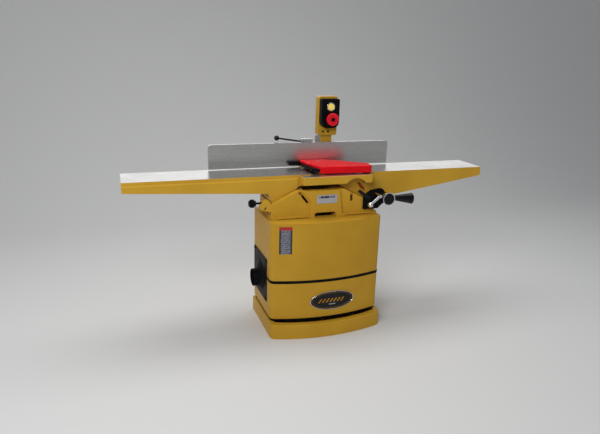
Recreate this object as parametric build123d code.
from build123d import *
import math
import os

# A cabinet jointer. Millimetres, +Z up, +X along the tables to the infeed end, -Y to the operator.
# The pieces are drawn from the table line and saved about the middle of the floor bolts.

# ---- driving dimensions ----
TABLE_TOP = 825.0
CUT_DEPTH = 2.0  # the infeed table is set this far below the outfeed table
OUTFEED_END = -1027.0
INFEED_END = 1065.0
TABLE_FRONT = -130.0
TABLE_BACK = 99.0
PLATE = 22.0
APRON = 14.0
SHOULDER = 8.0
SHOULDER_DEPTH = 16.0
OUTFEED_END_DEPTH = 53.0
OUTFEED_ROOT_DEPTH = 94.0
INFEED_END_DEPTH = 52.0
INFEED_ROOT_DEPTH = 148.0

HEAD_X = -5.0
HEAD_Z = TABLE_TOP - 39.0
HEAD_RADIUS = 36.5
KNIFE_CIRCLE = 39.0
KNIFE_COUNT = 4
HEAD_LENGTH = 203.0
HEAD_FRONT = -128.0
LIP_GAP = 33.0  # from the cutterhead axis to each table lip
JOURNAL = 8.5

WAY_ANGLE = 27.0
WAY_Z = 748.0
OUTFEED_WAY_X = -128.0
INFEED_WAY_X = 146.0
WAY_LENGTHS = {-1: 150.0, 1: 176.0}  # outfeed, infeed
SADDLE = 26.0
DOVETAIL_TOP = 55.0
DOVETAIL_FOOT = 45.0
DOVETAIL_HEIGHT = 14.0
SLIDE_GAP = 0.05
# The saddles' inner corners stand above the line of the ways, to clear the bed.
SADDLE_RISE = 17.0
SADDLE_RUN = 24.0
GIB = 6.0

BED_LEFT = -271.0
BED_RIGHT = 336.0
BED_FRONT = -173.0
BED_BACK = 70.0
BED_FLANGE = 14.0
BED_WALL = 14.0
TOWER_TOP = 745.0

FLOOR = -52.0
CABINET_X = 26.0
CABINET_TOP = 596.0
CABINET_BOTTOM = 48.0
CABINET_HALF = 322.0
CABINET_LEFT = CABINET_X - CABINET_HALF
CABINET_BACK = 100.0
CABINET_CORNER = -250.0  # where the sides meet the bowed front
CABINET_BOW = 52.0
CORNER_RADIUS = 32.0
SHEET = 3.0
PLINTH_TOP = 32.0
PLINTH_HALF = 330.0
PLINTH_CORNER = -296.0
PLINTH_BOW = 54.0
PLINTH_WALL = 6.0
PLINTH_FLANGE = 30.0
FOOT_HOLE = 6.5
MID_BAND_Z = 257.0
BAND_HEIGHT = 16.0

FENCE_LEFT = -562.0
FENCE_RIGHT = 530.0
FENCE_FRONT = 83.0
FENCE_HEIGHT = 140.0
FENCE_THICK = 18.0
FENCE_FOOT = TABLE_TOP + 4.0
FENCE_PIVOT = 10.0  # the tilt axis stands this far behind and above the front lower edge
TILT_PIN = 4.0
EAR_X = (56.0, 88.0)  # left face of each hinge ear
EAR_WIDTH = 12.0

LEDGE_LEFT = -102.0
LEDGE_RIGHT = 302.0
LEDGE_FRONT = -200.0
LEDGE_DROP = 44.0

GUARD_PIVOT = (290.0, -142.0)
GUARD_FOOT = 829.0
GUARD_BOTTOM = 838.5  # high enough to pass over the outfeed lip at the full depth of cut
GUARD_TOP = 867.0

COLUMN_X = 178.0
COLUMN_Y = 208.0
COLUMN_WIDTH = 72.0
COLUMN_DEPTH = 40.0
SWITCH_BOX_BOTTOM = 988.0
SWITCH_BOX_TOP = 1218.0

MOTOR_X = 120.0
MOTOR_Z = 240.0
MOTOR_RADIUS = 88.0
MOTOR_PULLEY = 41.0
HEAD_PULLEY = 26.0
BELT_Y = 124.0
BELT_WIDTH = 16.0
BELT_THICK = 5.0

PORT_Y = -49.0
PORT_Z = 221.0
PORT_RADIUS = 50.0
HOOD_LOW = (-178.0, 118.0)
HOOD_HIGH = (90.0, 370.0)

LIFT_X = 380.0
LIFT_Z = 693.0
LOCK = (326.0, 712.0)
SCREW_Y = -154.0
SCREW_Z = 686.0
RUN = 0.05  # running clearance on a radius

os.makedirs("parts", exist_ok=True)


# ---- helpers ----
def block(x0, x1, y0, y1, z0, z1):
    """A box between two corners."""
    return Pos((x0 + x1) / 2, (y0 + y1) / 2, (z0 + z1) / 2) * Box(x1 - x0, y1 - y0, z1 - z0)


def rod_y(x, z, radius, y0, y1):
    """A round bar along Y."""
    return Pos(x, (y0 + y1) / 2, z) * Rot(90, 0, 0) * Cylinder(radius, y1 - y0)


def rod_x(y, z, radius, x0, x1):
    """A round bar along X."""
    return Pos((x0 + x1) / 2, y, z) * Rot(0, 90, 0) * Cylinder(radius, x1 - x0)


def rod_z(x, y, radius, z0, z1):
    """A round bar along Z."""
    return Pos(x, y, (z0 + z1) / 2) * Cylinder(radius, z1 - z0)


def rod_between(start, end, radius):
    """A round bar from one point to another."""
    a, b = Vector(*start), Vector(*end)
    plane = Plane(origin=a, z_dir=b - a)
    return extrude(plane * Circle(radius), (b - a).length)


def prism_y(points, y0, y1):
    """An XZ outline extruded from y0 to y1."""
    outline = Polyline(*[(x, z) for x, z in points], close=True)
    plane = Plane(origin=(0, y1, 0), x_dir=(1, 0, 0), z_dir=(0, -1, 0))
    return extrude(plane * make_face(outline), y1 - y0)


def prism_x(points, x0, x1):
    """A YZ outline extruded from x0 to x1."""
    outline = Polyline(*[(y, z) for y, z in points], close=True)
    plane = Plane(origin=(x0, 0, 0), x_dir=(0, 1, 0), z_dir=(1, 0, 0))
    return extrude(plane * make_face(outline), x1 - x0)


def prism_z(points, z0, z1):
    """An XY outline extruded from z0 to z1."""
    outline = Polyline(*points, close=True)
    return Pos(0, 0, z0) * extrude(make_face(outline), z1 - z0)


def save(name, *solids):
    """Write one node about the middle of the floor bolts, as one solid or a group of them."""
    x, y, z = FLOOR_CENTRE
    placed = [Pos(-x, -y, -z) * solid for solid in solids]
    shape = placed[0] if len(placed) == 1 else Compound(children=placed)
    export_step(shape, f"parts/{name}.step")


def hex_bolt(x, y, z, radius, length, head_radius, head_height):
    """A hexagon-headed bolt pointing down, with its head sitting on z."""
    head = Pos(x, y, z) * extrude(RegularPolygon(head_radius, 6), head_height)
    return head + rod_z(x, y, radius, z - length, z)


# ---- cabinet ----
def bowed_outline(half, corner, bow, back, radius, inset=0.0):
    """The plan of the cabinet: straight sides and back, and a front that bows forward."""
    half, back = half - inset, back - inset
    corner, front = corner + inset, corner - bow + inset
    edges = (
        Line((-half, back), (half, back))
        + Line((half, back), (half, corner))
        + ThreePointArc((half, corner), (0, front), (-half, corner))
        + Line((-half, corner), (-half, back))
    )
    face = make_face(edges)
    corners = [v for v in face.vertices() if v.Y < back - 1]
    return Pos(CABINET_X, 0, 0) * fillet(corners, max(radius - inset, 1.0))


def cabinet_plan(inset=0.0):
    return bowed_outline(
        CABINET_HALF, CABINET_CORNER, CABINET_BOW, CABINET_BACK, CORNER_RADIUS, inset
    )


def plinth_plan(inset=0.0):
    return bowed_outline(
        PLINTH_HALF, PLINTH_CORNER, PLINTH_BOW, CABINET_BACK + 6, CORNER_RADIUS + 6, inset
    )


FOOT_BOLTS = [(x, y) for x in (CABINET_X - 280, CABINET_X + 280) for y in (60, -260)]
FLOOR_CENTRE = (CABINET_X, -100.0, FLOOR)


def make_plinth():
    """A floor pan with walls and a flange that the cabinet stands on."""
    height = PLINTH_TOP - FLOOR
    body = extrude(plinth_plan(), height)
    rim = [e for e in body.edges().group_by(Axis.Z)[-1] if e.center().Y < CABINET_BACK]
    body = fillet(rim, 7)
    body -= Pos(0, 0, PLINTH_WALL) * extrude(plinth_plan(PLINTH_WALL), height - 2 * PLINTH_WALL)
    body -= Pos(0, 0, height / 2) * extrude(plinth_plan(PLINTH_FLANGE), height)
    for x, y in FOOT_BOLTS:
        body += rod_z(x, y, 18, 0, PLINTH_WALL + 4)
        body -= rod_z(x, y, FOOT_HOLE, -1, PLINTH_WALL + 5)
    return Pos(0, 0, FLOOR) * body


def make_cabinet_shell():
    height = CABINET_TOP - CABINET_BOTTOM - SHEET
    shell = extrude(cabinet_plan(), height) - extrude(cabinet_plan(SHEET), height)
    shell = Pos(0, 0, CABINET_BOTTOM) * shell
    opening = block(
        CABINET_LEFT + 40,
        CABINET_X + CABINET_HALF - 40,
        CABINET_BACK - SHEET - 1,
        CABINET_BACK + 1,
        CABINET_BOTTOM + 30,
        CABINET_TOP - 60,
    )
    port = rod_x(PORT_Y, PORT_Z, PORT_RADIUS + 6, CABINET_LEFT - 1, CABINET_LEFT + 10)
    return shell - opening - port


def make_cabinet_top():
    plate = Pos(0, 0, CABINET_TOP - SHEET) * extrude(cabinet_plan(), SHEET)
    return plate - block(-95, 85, -164, 40, CABINET_TOP - 10, CABINET_TOP + 1)


def make_rear_panel():
    y0 = CABINET_BACK
    half = CABINET_HALF - 18
    panel = block(CABINET_X - half, CABINET_X + half, y0, y0 + 2, CABINET_BOTTOM + 12,
                  CABINET_TOP - 42)
    shaft_hole = rod_y(MOTOR_X, MOTOR_Z, 34, y0 - 1, y0 + 3)
    return panel - shaft_hole


def make_rear_panel_screws():
    screws = []
    for x in (CABINET_X - 287, CABINET_X, CABINET_X + 287):
        for z in (CABINET_BOTTOM + 20, CABINET_TOP - 50):
            screws.append(rod_y(x, z, 6, CABINET_BACK + 2, CABINET_BACK + 6))
    return screws


def make_mid_band():
    ring = extrude(cabinet_plan(-1.5), BAND_HEIGHT) - extrude(cabinet_plan(0), BAND_HEIGHT)
    ring = Pos(0, 0, MID_BAND_Z) * ring
    hood = block(
        CABINET_LEFT - 9, CABINET_LEFT + 9, HOOD_LOW[0] - 2, CABINET_BACK + 9, 0, CABINET_TOP
    )
    rear = block(CABINET_LEFT - 9, CABINET_LEFT + 2 * CABINET_HALF + 9, CABINET_BACK - 9,
                 CABINET_BACK + 9, 0, CABINET_TOP)
    return ring - hood - rear


def make_toe_band():
    height = CABINET_BOTTOM - PLINTH_TOP
    ring = extrude(cabinet_plan(5), height) - extrude(cabinet_plan(10), height)
    return Pos(0, 0, PLINTH_TOP) * ring


def make_dust_hood():
    """Square flange, tapering to a round spigot for a 100 mm hose."""
    x0 = CABINET_LEFT
    plate = block(x0 - 4, x0, HOOD_LOW[0], HOOD_HIGH[0], HOOD_LOW[1], HOOD_HIGH[1])
    base = Plane(origin=(x0 - 4, PORT_Y, PORT_Z + 14), x_dir=(0, 1, 0), z_dir=(-1, 0, 0))
    tip = Plane(origin=(x0 - 22, PORT_Y, PORT_Z), x_dir=(0, 1, 0), z_dir=(-1, 0, 0))
    cone = loft([base * Circle(92), tip * Circle(PORT_RADIUS + 4)])
    spigot = rod_x(PORT_Y, PORT_Z, PORT_RADIUS, x0 - 52, x0 - 21)
    bore = rod_x(PORT_Y, PORT_Z, PORT_RADIUS - 4, x0 - 60, x0 + 1)
    return plate + cone + spigot - bore


def make_hood_screws():
    x0 = CABINET_LEFT - 4
    screws = []
    for y in (HOOD_LOW[0] + 14, HOOD_HIGH[0] - 14):
        for z in (HOOD_LOW[1] + 14, HOOD_HIGH[1] - 14):
            screws.append(rod_x(y, z, 6, x0 - 4, x0))
    return screws


def make_badge():
    """A shallow oval plate following the bowed front."""
    plane = Plane(origin=(48, -420, 144), x_dir=(1, 0, 0), z_dir=(0, 1, 0))
    oval = extrude(plane * Ellipse(129, 53), 200)
    skin = extrude(cabinet_plan(-4), CABINET_TOP) - extrude(cabinet_plan(0), CABINET_TOP)
    return (oval & skin).solids()[0]


def make_label():
    plane = Plane(origin=(-221, -420, 504), x_dir=(1, 0, 0), z_dir=(0, 1, 0))
    card = extrude(plane * Rectangle(67, 152), 200)
    skin = extrude(cabinet_plan(-0.6), CABINET_TOP) - extrude(cabinet_plan(0), CABINET_TOP)
    return (card & skin).solids()[0]


def make_chip_chute():
    """A sloping tray from the bed throat to the dust port."""
    y0, y1 = -158, 36
    floor = [(88, 583), (94, 583), (-278, 158), (-284, 158)]
    tray = prism_y(floor, y0, y1)
    side = [(-90, 591), (94, 591), (94, 583), (-278, 158), (-284, 158), (-284, 300)]
    cheeks = [prism_y(side, y, y + 3) for y in (y0 - 3, y1)]
    return tray + cheeks[0] + cheeks[1]


# ---- bed ----
def way_z(x):
    """The height of the inclined ways at x."""
    slope = math.tan(math.radians(WAY_ANGLE))
    if x < OUTFEED_WAY_X:
        return WAY_Z - slope * (OUTFEED_WAY_X - x)
    return WAY_Z - slope * (x - INFEED_WAY_X)


def bed_profile(inset=0.0):
    return [
        (BED_LEFT + inset, CABINET_TOP),
        (BED_RIGHT - inset, CABINET_TOP),
        (BED_RIGHT - inset, way_z(BED_RIGHT - inset) - inset),
        (INFEED_WAY_X - inset * 0.3, WAY_Z - 3 - inset),
        (OUTFEED_WAY_X + inset * 0.3, WAY_Z - 3 - inset),
        (BED_LEFT + inset, way_z(BED_LEFT + inset) - inset),
    ]


def way_frame(side):
    """A plane on the ways: local X runs down the slope away from the cutterhead, local Z out."""
    angle = math.radians(WAY_ANGLE)
    x = OUTFEED_WAY_X if side < 0 else INFEED_WAY_X
    normal = (side * math.sin(angle), 0, math.cos(angle))
    along = (side * math.cos(angle), 0, -math.sin(angle))
    return Plane(origin=(x, 0, WAY_Z), x_dir=along, z_dir=normal)


def dovetail(side, length, grow, height, gib=0.0, start=0.0):
    """A dovetail bar lying on the ways, widened by grow and by the gib on its rear flank."""
    frame = way_frame(side)
    direction = Vector(*frame.x_dir)
    origin = frame.origin + direction * start
    section = Plane(origin=origin, x_dir=(0, 1, 0), z_dir=frame.x_dir)
    up = 1 if Vector(*section.y_dir).dot(Vector(*frame.z_dir)) > 0 else -1
    half_top = DOVETAIL_FOOT + (DOVETAIL_TOP - DOVETAIL_FOOT) * height / DOVETAIL_HEIGHT
    points = [
        (-DOVETAIL_FOOT - grow, 0),
        (DOVETAIL_FOOT + grow + gib, 0),
        (half_top + grow + gib, up * height),
        (-half_top - grow, up * height),
    ]
    outline = Polyline(*points, close=True)
    return extrude(section * make_face(outline), length)


def throat():
    """The clear way down through the bed for chips."""
    return block(-88, 78, -152, 34, CABINET_TOP - 5, TOWER_TOP + 40)


def make_bed():
    outer = prism_y(bed_profile(), BED_FRONT, BED_BACK)
    core = prism_y(bed_profile(BED_WALL), BED_FRONT + BED_WALL, BED_BACK - BED_WALL)
    core -= block(-110, -96, BED_FRONT, BED_BACK, CABINET_TOP, WAY_Z)
    core -= block(94, 108, BED_FRONT, BED_BACK, CABINET_TOP, WAY_Z)
    flange = block(BED_LEFT - 6, BED_RIGHT + 6, BED_FRONT - 20, BED_BACK, CABINET_TOP,
                   CABINET_TOP + BED_FLANGE)
    bed = outer + flange - Pos(0, 0, -1) * core
    bed -= throat()
    # chip clearance around the cutterhead
    bed -= rod_y(HEAD_X, HEAD_Z, KNIFE_CIRCLE + 8, -132, 76)
    # the raised name block in the middle of the front
    boss = prism_y([(-52, CABINET_TOP), (137, CABINET_TOP), (118, TOWER_TOP), (-104, TOWER_TOP),
                    (-52, 680)], BED_FRONT - 14, BED_FRONT)
    boss = chamfer(boss.faces().sort_by(Axis.Y)[0].edges(), 4)
    arch = block(-32, 97, BED_FRONT - 40, BED_FRONT + BED_WALL + 1, CABINET_TOP - 1,
                 CABINET_TOP + 25)
    arch = fillet(arch.edges().filter_by(Axis.Y).group_by(Axis.Z)[-1], 16)
    bed = bed + boss - arch
    # slots cast in the front wall
    upright = block(184, 201, BED_FRONT - 1, BED_FRONT + BED_WALL + 1, 672, TOWER_TOP)
    slanted = Pos(-92, BED_FRONT, 706) * Rot(0, 51, 0) * Box(84, 44, 13)
    bed = bed - upright - slanted
    # the foot flange stands clear of the cabinet along its front edge
    for x0, x1 in ((-246, -62), (146, 318)):
        bed -= block(x0, x1, BED_FRONT - 30, BED_FRONT - 10, CABINET_TOP - 1, CABINET_TOP + 4)
    # arm on the outfeed end that carries the adjusting screw
    arm = prism_y([(BED_LEFT, 636), (BED_LEFT, 672), (-282, 690), (-290, 702), (-304, 702),
                   (-332, 682), (-332, 652)], -172, -136)
    arm -= prism_y([(-318, 652), (-300, 652), (-300, 672)], -180, -130)
    bed = bed + arm
    bed -= rod_x(SCREW_Y, SCREW_Z, 6 + RUN, -400, BED_LEFT)
    # dovetail ways
    for side in (-1, 1):
        bed += dovetail(side, WAY_LENGTHS[side], 0, DOVETAIL_HEIGHT - 1)
        foot = way_frame(side) * Pos(WAY_LENGTHS[side] / 2, 0, -4)
        bed += foot * Box(WAY_LENGTHS[side], 2 * DOVETAIL_FOOT, 8)
    # seats for the bearing blocks
    bed += block(HEAD_X - 32, HEAD_X + 32, -160, -133, TOWER_TOP - 40, BLOCK_SEAT)
    bed += block(HEAD_X - 32, HEAD_X + 32, 78, 96, 700, BLOCK_SEAT)
    bed += block(HEAD_X - 32, HEAD_X + 32, 60, 96, 690, 700)
    return bed


BLOCK_SEAT = 744.0


def make_bearing_block(y0, y1):
    """A split pillow block around one journal bearing."""
    body = block(HEAD_X - 30, HEAD_X + 30, y0, y1, BLOCK_SEAT, HEAD_Z)
    body += rod_y(HEAD_X, HEAD_Z, 27, y0, y1)
    return body - rod_y(HEAD_X, HEAD_Z, 20, y0 - 1, y1 + 1)


def make_bearing(y0, y1):
    ring = rod_y(HEAD_X, HEAD_Z, 20, y0, y1) - rod_y(HEAD_X, HEAD_Z, JOURNAL + RUN, y0 - 1, y1 + 1)
    return ring


def knife_slot(angle, grow, depth, width):
    """A radial slot in the cutterhead at one angle."""
    slot = Pos(0, 0, KNIFE_CIRCLE - depth / 2 + grow) * Box(width, HEAD_LENGTH + 2, depth)
    return Pos(HEAD_X, HEAD_FRONT + HEAD_LENGTH / 2, HEAD_Z) * Rot(0, angle, 0) * slot


def make_cutterhead():
    back = HEAD_FRONT + HEAD_LENGTH
    head = rod_y(HEAD_X, HEAD_Z, HEAD_RADIUS, HEAD_FRONT, back)
    head += rod_y(HEAD_X, HEAD_Z, JOURNAL, -149, HEAD_FRONT)
    head += rod_y(HEAD_X, HEAD_Z, JOURNAL, back, BELT_Y + BELT_WIDTH)
    for index in range(KNIFE_COUNT):
        head -= knife_slot(45 + index * 360 / KNIFE_COUNT, 2, 22, 13)
    return head


def make_knives():
    knives = []
    for index in range(KNIFE_COUNT):
        turn = Rot(0, 45 + index * 360 / KNIFE_COUNT, 0)
        blade = Pos(-4.9, 0, KNIFE_CIRCLE - 10) * Box(3, HEAD_LENGTH - 1, 18)
        knives.append(Pos(HEAD_X, HEAD_FRONT + HEAD_LENGTH / 2, HEAD_Z) * turn * blade)
    return knives


def make_knife_gibs():
    gibs = []
    for index in range(KNIFE_COUNT):
        turn = Rot(0, 45 + index * 360 / KNIFE_COUNT, 0)
        bar = Pos(1.4, 0, KNIFE_CIRCLE - 13) * Box(9.4, HEAD_LENGTH - 1, 14)
        gibs.append(Pos(HEAD_X, HEAD_FRONT + HEAD_LENGTH / 2, HEAD_Z) * turn * bar)
    return gibs


def make_pulley(x, z, radius, bore):
    y0, y1 = BELT_Y - BELT_WIDTH / 2, BELT_Y + BELT_WIDTH / 2
    wheel = rod_y(x, z, radius, y0, y1)
    for y in (y0 - 3, y1):
        wheel += rod_y(x, z, radius + 3, y, y + 3)
    return wheel - rod_y(x, z, bore, y0 - 9, y1 + 9)


def belt_loop(grow):
    """The outline of the belt path in XZ, grown outward."""
    r1, r2 = HEAD_PULLEY + grow, MOTOR_PULLEY + grow
    plane = Plane(origin=(0, BELT_Y, 0), x_dir=(1, 0, 0), z_dir=(0, -1, 0))
    dx, dz = MOTOR_X - HEAD_X, MOTOR_Z - HEAD_Z
    length = math.hypot(dx, dz)
    along = math.atan2(dz, dx)
    lean = math.acos((r1 - r2) / length)
    points = []
    for sign in (1, -1):
        angle = along + sign * lean
        c, s = math.cos(angle), math.sin(angle)
        points.append(((HEAD_X + r1 * c, HEAD_Z + r1 * s), (MOTOR_X + r2 * c, MOTOR_Z + r2 * s)))
    (a1, b1), (a2, b2) = points
    top = (HEAD_X - r1 * math.cos(along), HEAD_Z - r1 * math.sin(along))
    low = (MOTOR_X + r2 * math.cos(along), MOTOR_Z + r2 * math.sin(along))
    edges = Line(a1, b1) + ThreePointArc(b1, low, b2) + Line(b2, a2) + ThreePointArc(a2, top, a1)
    return plane * make_face(edges)


def belt_solid(grow, y0, y1):
    return Pos(0, y1 - BELT_Y, 0) * extrude(belt_loop(grow), y1 - y0)


def make_belt():
    y0, y1 = BELT_Y - BELT_WIDTH / 2 + 1, BELT_Y + BELT_WIDTH / 2 - 1
    return belt_solid(BELT_THICK + 0.3, y0, y1) - belt_solid(0.3, y0 - 1, y1 + 1)


def make_belt_guard():
    y0, y1 = 106.0, 148.0
    shell = belt_solid(9.0, y0, y1) - belt_solid(7.0, y0 - 1, y1 - 2)
    for x in (MOTOR_X - 72, MOTOR_X + 46):
        shell += block(x, x + 26, CABINET_BACK + 2, y1, MOTOR_Z - 20, MOTOR_Z + 20)
    return shell - belt_solid(7.0, y0 - 1, y1 - 2)


def make_motor():
    y0, y1 = -214.0, 36.0
    body = rod_y(MOTOR_X, MOTOR_Z, MOTOR_RADIUS, y0, y1)
    body += block(MOTOR_X - 70, MOTOR_X + 70, y0 + 30, y1 - 30, MOTOR_Z - MOTOR_RADIUS - 10,
                  MOTOR_Z - 60)
    body += block(MOTOR_X + 60, MOTOR_X + 118, -170, -60, MOTOR_Z - 10, MOTOR_Z + 60)
    body -= rod_y(MOTOR_X, MOTOR_Z, 62, y0 + 25, y1 - 25)
    return body - rod_y(MOTOR_X, MOTOR_Z, 12 + RUN, y0 - 1, y1 + 1)


def make_motor_shaft():
    return rod_y(MOTOR_X, MOTOR_Z, 12, -209, BELT_Y + 12)


def make_motor_base():
    top = MOTOR_Z - MOTOR_RADIUS - 10
    plate = block(20, 220, -230, 56, top - 8, top)
    for x in (20, 212):
        plate += block(x, x + 8, -230, 56, FLOOR + PLINTH_WALL, top - 8)
    return plate


# ---- tables ----
def outfeed_side():
    """The outline of the outfeed table seen from the front."""
    lip = HEAD_X - LIP_GAP
    return [
        (OUTFEED_END, TABLE_TOP),
        (lip, TABLE_TOP),
        (lip, TABLE_TOP - 6),
        (lip - 34, TABLE_TOP - 40),
        (lip - 40, TOWER_TOP + SADDLE_RISE),
        (OUTFEED_WAY_X + SADDLE_RUN, TOWER_TOP + SADDLE_RISE),
        (OUTFEED_WAY_X, WAY_Z + SLIDE_GAP),
        (-260, way_z(-260) + SLIDE_GAP * 2),
        (-270, way_z(-260) + 12),
        (-276, TABLE_TOP - OUTFEED_ROOT_DEPTH - 10),
        (-290, TABLE_TOP - OUTFEED_ROOT_DEPTH),
        (OUTFEED_END, TABLE_TOP - OUTFEED_END_DEPTH),
    ]


def infeed_side():
    """The outline of the infeed table seen from the front."""
    top = TABLE_TOP - CUT_DEPTH
    lip = HEAD_X + LIP_GAP
    return [
        (INFEED_END, top),
        (lip, top),
        (lip, top - 6),
        (lip + 34, top - 40),
        (lip + 40, TOWER_TOP + SADDLE_RISE),
        (INFEED_WAY_X - SADDLE_RUN, TOWER_TOP + SADDLE_RISE),
        (INFEED_WAY_X, WAY_Z + SLIDE_GAP),
        (330, way_z(330) + SLIDE_GAP * 2),
        (344, way_z(330) + 2),
        (431, top - INFEED_ROOT_DEPTH + 2),
        (INFEED_END, top - INFEED_END_DEPTH),
    ]


def table_casting(outline, top, ribs, saddle_far, side):
    """A ribbed open-bottomed casting with an inclined saddle that rides the ways."""
    body = prism_y(outline, TABLE_FRONT, TABLE_BACK)
    inner_y = (TABLE_FRONT + APRON, TABLE_BACK - APRON)
    hollow = block(min(ribs), max(ribs), *inner_y, 0, top - PLATE)
    for x in ribs[1:-1]:
        hollow -= block(x - 6, x + 6, TABLE_FRONT, TABLE_BACK, top - 60, top)
    # the saddle floor stays in the hollow as a sloping plate above the ways
    frame = way_frame(side)
    slab = extrude(
        Plane(origin=frame.origin, x_dir=frame.x_dir, z_dir=frame.z_dir)
        * Pos(110, 0, 0)
        * Rectangle(340, 400),
        SADDLE,
    )
    keep = slab & block(min(saddle_far, OUTFEED_WAY_X if side < 0 else INFEED_WAY_X),
                        max(saddle_far, OUTFEED_WAY_X if side < 0 else INFEED_WAY_X),
                        TABLE_FRONT, TABLE_BACK, 600, top)
    hollow -= keep
    body -= hollow
    clearance = rod_y(HEAD_X, HEAD_Z, KNIFE_CIRCLE + 3, -200, 200)
    body -= clearance
    groove = dovetail(side, 420, SLIDE_GAP, DOVETAIL_HEIGHT, gib=GIB, start=-60)
    body -= groove
    return body


def make_outfeed_table():
    """The outfeed table, whose apron stands a little proud of the edge of its plate."""
    ribs = [OUTFEED_END + 16, -860, -690, -520, -352, -138]
    table = table_casting(outfeed_side(), TABLE_TOP, ribs, -270, -1)
    band = block(OUTFEED_END, LEDGE_LEFT - 14, TABLE_FRONT - SHOULDER, TABLE_FRONT, 600,
                 TABLE_TOP - SHOULDER_DEPTH)
    band = chamfer(band.faces().sort_by(Axis.Z)[-1].edges().filter_by(Axis.X).sort_by(Axis.Y)[0], 6)
    return table + (band & prism_y(outfeed_side(), TABLE_FRONT - SHOULDER, TABLE_FRONT))


def make_infeed_table():
    ribs = [156, 350, 480, 620, 760, 900, INFEED_END - 16]
    return table_casting(infeed_side(), TABLE_TOP - CUT_DEPTH, ribs, 344, 1)


def make_gib(side):
    """The strip that takes up play on the rear flank of the dovetail."""
    length = WAY_LENGTHS[side] - 10
    height = DOVETAIL_HEIGHT - 2
    wide = dovetail(side, length, SLIDE_GAP, height, gib=GIB, start=4)
    narrow = dovetail(side, length + 8, 2 * SLIDE_GAP, height, start=0)
    frame = way_frame(side)
    lift = Vector(*frame.z_dir) * (2 * SLIDE_GAP)
    strip = Pos(lift.X, lift.Y, lift.Z) * (wide - narrow)
    return (strip & block(-600, 600, 0, 200, 500, 900)).solids()[0]


def make_ledge():
    """The rabbeting ledge bolted to the front of the infeed table."""
    top = TABLE_TOP - CUT_DEPTH
    plate = block(LEDGE_LEFT, LEDGE_RIGHT, LEDGE_FRONT, TABLE_FRONT, top - 12, top)
    apron = block(LEDGE_LEFT, LEDGE_RIGHT, LEDGE_FRONT, LEDGE_FRONT + 11, top - LEDGE_DROP, top)
    arch = Pos(206, LEDGE_FRONT, top - LEDGE_DROP - 42) * Rot(90, 0, 0) * Cylinder(70, 60)
    apron -= arch
    ends = block(LEDGE_LEFT, LEDGE_LEFT + 10, LEDGE_FRONT, TABLE_FRONT - 3, top - LEDGE_DROP, top)
    pad = block(112, LEDGE_RIGHT, TABLE_FRONT - 14, TABLE_FRONT, top - 40, top)
    post = rod_z(*GUARD_PIVOT, 24, top - 40, top)
    post &= block(0, 400, -300, TABLE_FRONT, 0, 900)
    body = plate + apron + ends + pad + post
    body -= block(-66, 37, -152, TABLE_FRONT + 1, 700, top + 1)
    body -= block(LEDGE_LEFT - 1, 37, -133, TABLE_FRONT + 1, 700, top + 1)
    body -= rod_z(*GUARD_PIVOT, 6 + RUN, 700, top + 1)
    return body


def make_ledge_bolts():
    """Socket screws through the table apron into the ledge, heads inside the apron."""
    y = TABLE_FRONT + APRON
    return [rod_y(x, TABLE_TOP - CUT_DEPTH - 31, 6, y, y + 8) for x in (178, 218, 262)]


# ---- guard ----
def guard_outline(grow=0.0):
    tip, back = (-36 - grow, 76), (108, 76)
    right, front_right = (316, -84), (300, -168 - grow)
    return [tip, back, right, (318, -140), (312, -162), front_right, (12 - grow, -146 - grow)]


def make_guard():
    """The red cover, hollow underneath, with softened edges."""
    body = prism_z(guard_outline(), GUARD_FOOT, GUARD_TOP)
    body = fillet(body.edges().filter_by(Axis.Z), 6)
    body = fillet(body.edges().group_by(Axis.Z)[-1], 5)
    body -= block(-200, 400, -134, 200, GUARD_FOOT - 1, GUARD_BOTTOM)
    recess = prism_z(
        [(-14, 66), (102, 66), (262, -66), (262, -152), (20, -136)], GUARD_FOOT - 1, GUARD_TOP - 6
    )
    body -= recess
    body -= rod_z(60, 26, 13, GUARD_TOP - 3, GUARD_TOP + 1)
    return body - rod_z(*GUARD_PIVOT, 6 + RUN, GUARD_FOOT - 1, GUARD_TOP - 10)


def make_guard_skirt():
    """The black liner under the red cover, with a tail along the fence."""
    lined = prism_z(
        [(-12, 65), (101, 65), (261, -68), (261, -151), (22, -135)], GUARD_BOTTOM - 1.5, GUARD_TOP - 6.1
    )
    lined -= prism_z(
        [(-4, 58), (96, 58), (252, -72), (252, -142), (30, -128)], GUARD_BOTTOM - 9, GUARD_TOP - 10
    )
    flap = prism_z([(-37, 70), (-34, 70), (10, -134), (10, -142), (-24, -112), (-40, 60)],
                   GUARD_BOTTOM - 1.5, GUARD_BOTTOM + 14)
    flap -= prism_z([(-36, 76), (12, -146), (60, -146), (60, 76)], 800, 900)
    tail = block(-105, -38, 56, 75, GUARD_BOTTOM + 3, GUARD_TOP - 7)
    strap = prism_z([(-44, 72), (-37, 72), (-30, 50), (-50, 50)], GUARD_BOTTOM + 3, GUARD_TOP - 12)
    strap -= prism_z([(-36, 76), (12, -146), (60, -146), (60, 76)], 800, 900)
    return lined, tail + strap + flap


def make_guard_cap():
    return rod_z(60, 26, 12, GUARD_TOP - 3, GUARD_TOP - 0.5)


def make_guard_hub():
    """The black foot between the ledge and the guard."""
    top = TABLE_TOP - CUT_DEPTH
    hub = rod_z(*GUARD_PIVOT, 22, top, GUARD_FOOT - 0.1)
    return hub - rod_z(*GUARD_PIVOT, 6 + RUN, 700, 900)


def make_guard_post():
    return rod_z(*GUARD_PIVOT, 6, TABLE_TOP - CUT_DEPTH - 60, GUARD_TOP - 10.2)


def make_guard_spring():
    """The closing spring, wound around the lower end of the post."""
    coils = []
    for index in range(4):
        z = TABLE_TOP - CUT_DEPTH - 57 + index * 3.9
        coils.append(Pos(*GUARD_PIVOT, z) * Torus(9, 1.6))
    return coils


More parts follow.
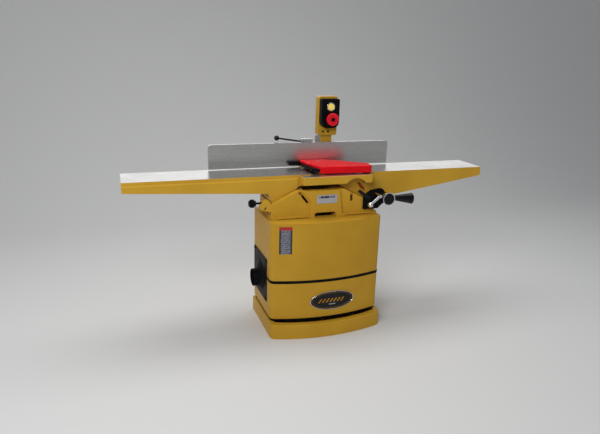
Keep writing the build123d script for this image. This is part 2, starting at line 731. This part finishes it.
# ---- fence ----
PIVOT_Y = FENCE_FRONT + FENCE_PIVOT
PIVOT_Z = FENCE_FOOT + FENCE_PIVOT


def fence_profile():
    """The fence section, chamfered behind so that its lower edge clears the tables as it leans."""
    y, z = FENCE_FRONT, FENCE_FOOT
    back = y + FENCE_THICK
    top = TABLE_TOP + FENCE_HEIGHT
    return [(y, z), (y + FENCE_PIVOT, z), (back, z + 8), (back, top), (y, top)]


def make_fence():
    body = prism_x(fence_profile(), FENCE_LEFT, FENCE_RIGHT)
    ends = body.edges().filter_by(Axis.Y).group_by(Axis.Z)[-1]
    body = fillet(ends, 16)
    back = FENCE_FRONT + FENCE_THICK
    top = TABLE_TOP + FENCE_HEIGHT
    body += block(FENCE_LEFT + 30, FENCE_RIGHT - 30, back, back + 12, top - 22, top - 6)
    for x in (FENCE_LEFT + 60, FENCE_LEFT + 260, FENCE_RIGHT - 260, FENCE_RIGHT - 60):
        body += block(x - 6, x + 6, back, back + 12, 872, top - 22)
    for x in EAR_X:
        body -= block(x - 0.5, x + EAR_WIDTH + 0.5, FENCE_FRONT + 2.5, back + 1, FENCE_FOOT - 1,
                      FENCE_FOOT + 30)
        body -= rod_x(PIVOT_Y, PIVOT_Z, TILT_PIN, x - 9, x + EAR_WIDTH + 9)
    return body


def make_fence_lug():
    """The lug behind the top of the fence that carries the tilt handle."""
    y = FENCE_FRONT + 30
    return block(-15, 56, y, y + 26, 920, 982) - rod_y(0, 962, 5 + RUN, y - 1, y + 30)


def make_tilt_handle():
    y = FENCE_FRONT + 43
    stem = rod_y(0, 962, 5, FENCE_FRONT + 31, FENCE_FRONT + 62)
    hub = rod_y(0, 962, 11, FENCE_FRONT + 57, FENCE_FRONT + 69)
    arm = rod_between((0, y + 20, 962), (-142, y + 20, 984), 5)
    return stem + hub + arm


def make_tilt_knob():
    y = FENCE_FRONT + 63
    ball = Pos(-154, y, 986) * Sphere(15)
    return ball - rod_between((0, y, 962), (-142, y, 984), 5.02)


def make_fence_support():
    """The bracket bolted behind the bed that carries the fence carriage."""
    base = block(46, 110, 100.5, 300, 806, TABLE_TOP + 1)
    legs = block(46, 58, 71, 300, 740, 806) + block(98, 110, 71, 300, 740, 806)
    legs -= prism_x([(150, 700), (310, 700), (310, 800)], 0, 200)
    legs -= block(40, 120, 60, 102, TOWER_TOP, 820)
    legs += block(46, 58, 71, 104, 690, TOWER_TOP) + block(98, 110, 71, 104, 690, TOWER_TOP)
    foot = block(46, 110, BED_BACK, BED_BACK + 12, 640, 745)
    key = block(74, 82, 122, 298, TABLE_TOP + 1, TABLE_TOP + 6)
    return base + legs + foot + key


def make_fence_carriage():
    """The plate that slides across the tables, with two ears that hold the fence."""
    z = TABLE_TOP + 3.3
    plate = block(47, 109, 118, 300, z, z + 17)
    plate -= block(74 - SLIDE_GAP, 82 + SLIDE_GAP, 110, 310, z - 1, z + 4)
    for x in EAR_X:
        plate += block(x, x + EAR_WIDTH, PIVOT_Y, 120, PIVOT_Z - 6, PIVOT_Z + 6)
        plate += rod_x(PIVOT_Y, PIVOT_Z, 7, x, x + EAR_WIDTH)
        plate -= rod_x(PIVOT_Y, PIVOT_Z, TILT_PIN + RUN, x - 1, x + EAR_WIDTH + 1)
    return plate


def make_tilt_pins():
    """The two hinge pins, held in the fence and turning in the carriage ears."""
    return [rod_x(PIVOT_Y, PIVOT_Z, TILT_PIN, x - 9, x + EAR_WIDTH + 9) for x in EAR_X]


def make_slide_lock():
    """The lever that clamps the carriage to its bracket."""
    z = TABLE_TOP + 20.3
    hub = rod_z(66, 270, 12, z, z + 18)
    arm = rod_between((66, 270, z + 10), (6, 300, z + 40), 5)
    return hub + arm


def make_slide_lock_knob():
    z = TABLE_TOP + 20.3
    ball = Pos(-1, 303.5, z + 43.5) * Sphere(14)
    return ball - rod_between((66, 270, z + 10), (6, 300, z + 40), 5.02)


# ---- switch column ----
def make_column():
    x0, x1 = COLUMN_X - COLUMN_WIDTH / 2, COLUMN_X + COLUMN_WIDTH / 2
    y0, y1 = COLUMN_Y, COLUMN_Y + COLUMN_DEPTH
    post = block(x0, x1, y0, y1, 640, SWITCH_BOX_BOTTOM)
    post = fillet(post.edges().filter_by(Axis.Z), 6)
    foot = block(x0, x1, BED_BACK + 10, y0 + 10, 640, 652)
    web = prism_x([(BED_BACK + 10, 632), (BED_BACK + 10, 600), (y0 + 20, 640), (y0 + 20, 652)],
                  COLUMN_X - 5, COLUMN_X + 5)
    pad = block(x0, x1, BED_BACK, BED_BACK + 10, 622, 664)
    web &= block(0, 400, BED_BACK, 400, 622, 652)
    return post + foot + pad + web


def make_column_clamp():
    """Bright steel angle clamped to the side of the column."""
    x1 = COLUMN_X - COLUMN_WIDTH / 2
    return block(x1 - 34, x1, COLUMN_Y + 4, COLUMN_Y + 10, 940, 1000 - 14)


def make_switch_box():
    """The folded sheet housing behind the switch."""
    x0, x1 = COLUMN_X - 58, COLUMN_X + 60
    box = block(x0, x1, COLUMN_Y - 12, COLUMN_Y + 42, SWITCH_BOX_BOTTOM, SWITCH_BOX_TOP)
    box = fillet(box.edges().filter_by(Axis.Y), 12)
    hollow = block(x0 + 3, x1 - 3, COLUMN_Y - 9, COLUMN_Y + 50, SWITCH_BOX_BOTTOM + 3,
                   SWITCH_BOX_TOP - 3)
    return box - hollow


def make_switch_housing():
    x0, x1 = COLUMN_X - 54, COLUMN_X + 58
    y1 = COLUMN_Y - 12
    z1 = SWITCH_BOX_TOP - 12
    body = block(x0, x1, y1 - 40, y1, 1036, z1)
    body = fillet(body.edges().filter_by(Axis.Y).group_by(Axis.Z)[0], 38)
    body = fillet(body.edges().filter_by(Axis.Y).group_by(Axis.Z)[-1], 9)
    body -= rod_y(START[0], START[1], 20.5, y1 - 60, y1 - 6)
    body -= rod_y(STOP[0], STOP[1], 13.5, y1 - 60, y1 - 6)
    return body


START = (COLUMN_X + 3, 1160.0)
STOP = (COLUMN_X + 10, 1088.0)


def make_start_button():
    y1 = COLUMN_Y - 12
    return rod_y(START[0], START[1], 20, y1 - 43, y1 - 12)


def make_stop_button():
    """A wide mushroom button with a hollow face."""
    y1 = COLUMN_Y - 12
    head = rod_y(STOP[0], STOP[1], 37, y1 - 66, y1 - 48)
    head = fillet(head.edges().filter_by(GeomType.CIRCLE).group_by(Axis.Y)[0], 6)
    stem = rod_y(STOP[0], STOP[1], 13, y1 - 50, y1 - 12)
    return head + stem - rod_y(STOP[0], STOP[1], 12.5, y1 - 70, y1 - 60)


def make_switch_screws():
    y1 = COLUMN_Y - 12
    return [rod_y(COLUMN_X + dx, 1012, 6, y1 - 4, y1) for dx in (-28, 4)]


def make_cable_gland():
    y1 = COLUMN_Y + 42
    return rod_y(COLUMN_X, 1120, 11, COLUMN_Y - 9, y1 + 16)


# ---- controls ----
def make_lift_bracket():
    """The cheek on the infeed end of the bed that holds the lift shaft."""
    y0, y1 = BED_FRONT - 12, BED_FRONT
    arm = prism_y([(262, 622), (262, 700), (306, 730), (356, 738), (376, 736), (408, 700),
                   (404, 668), (372, 640), (352, 622)], y0, y1)
    arm += rod_y(LIFT_X, LIFT_Z, 25, y0 - 14, y1 + 8)
    arm += rod_y(LOCK[0], LOCK[1], 14, y0 - 6, y1)
    arm -= rod_y(LOCK[0], LOCK[1], 6 + RUN, y0 - 10, y1 + 1)
    return arm - rod_y(LIFT_X, LIFT_Z, 12 + RUN, -300, -100)


def make_lift_shaft():
    return rod_y(LIFT_X, LIFT_Z, 12, -262, -140)


def make_lift_cam():
    """The eccentric that raises the infeed table."""
    cam = rod_y(LIFT_X + 6, LIFT_Z, 22, -148, -137)
    return cam - rod_y(LIFT_X, LIFT_Z, 12, -200, -100)


def make_lift_lever():
    arm = rod_between((LIFT_X, -222, LIFT_Z), (LIFT_X + 64, -222, LIFT_Z - 6), 8)
    hub = rod_y(LIFT_X, LIFT_Z, 22, -236, -208)
    return hub + arm - rod_y(LIFT_X, LIFT_Z, 12, -300, -100)


def make_lift_grip():
    """The black grip, widening to its end."""
    start = Vector(LIFT_X + 46, -222, LIFT_Z - 4.3)
    end = Vector(LIFT_X + 164, -222, LIFT_Z - 15.4)
    direction = end - start
    grip = loft([
        Plane(origin=start, z_dir=direction) * Circle(14),
        Plane(origin=start + direction * 0.55, z_dir=direction) * Circle(23),
        Plane(origin=end, z_dir=direction) * Circle(31),
    ])
    return grip - rod_between((LIFT_X, -222, LIFT_Z), (LIFT_X + 64, -222, LIFT_Z - 6), 8.02)


def make_lift_knob():
    """The black knob on the end of the lift shaft."""
    knob = rod_y(LIFT_X, LIFT_Z, 32, -268, -244)
    knob = fillet(knob.edges().filter_by(GeomType.CIRCLE).group_by(Axis.Y)[0], 6)
    return knob - rod_y(LIFT_X, LIFT_Z, 12 + RUN, -262 - RUN, -240)


def make_lift_knob_rim():
    return rod_y(LIFT_X, LIFT_Z, 37, -264, -250) - rod_y(LIFT_X, LIFT_Z, 32, -280, -240)


def make_lock_lever():
    """The bright lever that clamps the infeed table."""
    hub = rod_y(LOCK[0], LOCK[1], 9, -266, BED_FRONT - 18.1)
    hub += rod_y(LOCK[0], LOCK[1], 6, -200, BED_FRONT - 1)
    arm = rod_between((LOCK[0], -258, LOCK[1]), (276, -258, 672), 7)
    return hub + arm


def make_lock_knob():
    ball = Pos(270, -258, 666) * Sphere(15)
    return ball - rod_between((LOCK[0], -258, LOCK[1]), (276, -258, 672), 7.02)


def make_outfeed_screw():
    return rod_x(SCREW_Y, SCREW_Z, 6, -372, BED_LEFT - 17)


def make_outfeed_knob():
    """A lobed knob on the outfeed adjusting screw."""
    knob = rod_x(-154, 686, 16, -392, -356)
    for index in range(5):
        angle = math.radians(72 * index + 18)
        y, z = -154 + 16 * math.cos(angle), 686 + 16 * math.sin(angle)
        knob += rod_x(y, z, 7, -386, -366)
    return knob - rod_x(-154, 686, 6, -372, 0)


def make_nameplate():
    y = BED_FRONT - 14
    return block(-20, 99, y - 2, y, 672, 720)


def make_bed_bolts():
    z = CABINET_TOP + BED_FLANGE
    y = BED_FRONT - 10
    spots = [(-262, y), (-170, y), (170, y), (240, y)]
    return [hex_bolt(x, y, z, 4, 0.5, 8, 6) - rod_z(x, y, 4, z - 1, z) for x, y in spots]


# ---- write every node ----
NODES = {
    "plinth": [make_plinth()],
    "cabinet_shell": [make_cabinet_shell()],
    "cabinet_top": [make_cabinet_top()],
    "rear_panel": [make_rear_panel()],
    "panel_screws": make_rear_panel_screws() + make_hood_screws() + make_switch_screws(),
    "mid_band": [make_mid_band()],
    "toe_band": [make_toe_band()],
    "dust_hood": [make_dust_hood()],
    "oval_badge": [make_badge()],
    "side_label": [make_label()],
    "chip_chute": [make_chip_chute()],
    "bed": [make_bed()],
    "bed_bolts": make_bed_bolts(),
    "nameplate": [make_nameplate()],
    "bearing_blocks": [make_bearing_block(-147, -134), make_bearing_block(80, 94)],
    "cutterhead_bearings": [make_bearing(-147, -134), make_bearing(80, 94)],
    "cutterhead": [make_cutterhead()],
    "knives": make_knives(),
    "knife_gibs": make_knife_gibs(),
    "cutterhead_pulley": [make_pulley(HEAD_X, HEAD_Z, HEAD_PULLEY, JOURNAL)],
    "motor": [make_motor()],
    "motor_shaft": [make_motor_shaft()],
    "motor_pulley": [make_pulley(MOTOR_X, MOTOR_Z, MOTOR_PULLEY, 12)],
    "motor_base": [make_motor_base()],
    "drive_belt": [make_belt()],
    "belt_guard": [make_belt_guard()],
    "outfeed_table": [make_outfeed_table()],
    "infeed_table": [make_infeed_table()],
    "outfeed_gib": [make_gib(-1)],
    "infeed_gib": [make_gib(1)],
    "rabbet_ledge": [make_ledge()],
    "ledge_bolts": make_ledge_bolts(),
    "guard_cover": [make_guard()],
    "guard_liner": make_guard_skirt(),
    "guard_cap": [make_guard_cap()],
    "guard_hub": [make_guard_hub()],
    "guard_post": [make_guard_post()],
    "guard_spring": make_guard_spring(),
    "fence": [make_fence()],
    "fence_lug": [make_fence_lug()],
    "tilt_handle": [make_tilt_handle(), make_tilt_knob()],
    "fence_support": [make_fence_support()],
    "fence_carriage": [make_fence_carriage()],
    "tilt_pins": make_tilt_pins(),
    "slide_lock": [make_slide_lock(), make_slide_lock_knob()],
    "switch_column": [make_column()],
    "column_clamp": [make_column_clamp()],
    "switch_box": [make_switch_box()],
    "switch_housing": [make_switch_housing()],
    "start_button": [make_start_button()],
    "stop_button": [make_stop_button()],
    "cable_gland": [make_cable_gland()],
    "lift_bracket": [make_lift_bracket()],
    "lift_shaft": [make_lift_shaft() + make_lift_cam()],
    "lift_lever": [make_lift_lever()],
    "lift_grip": [make_lift_grip()],
    "lift_knob": [make_lift_knob()],
    "lift_knob_rim": [make_lift_knob_rim()],
    "lock_lever": [make_lock_lever(), make_lock_knob()],
    "outfeed_knob": [make_outfeed_screw() + make_outfeed_knob()],
}
for name, solids in NODES.items():
    save(name, *solids)
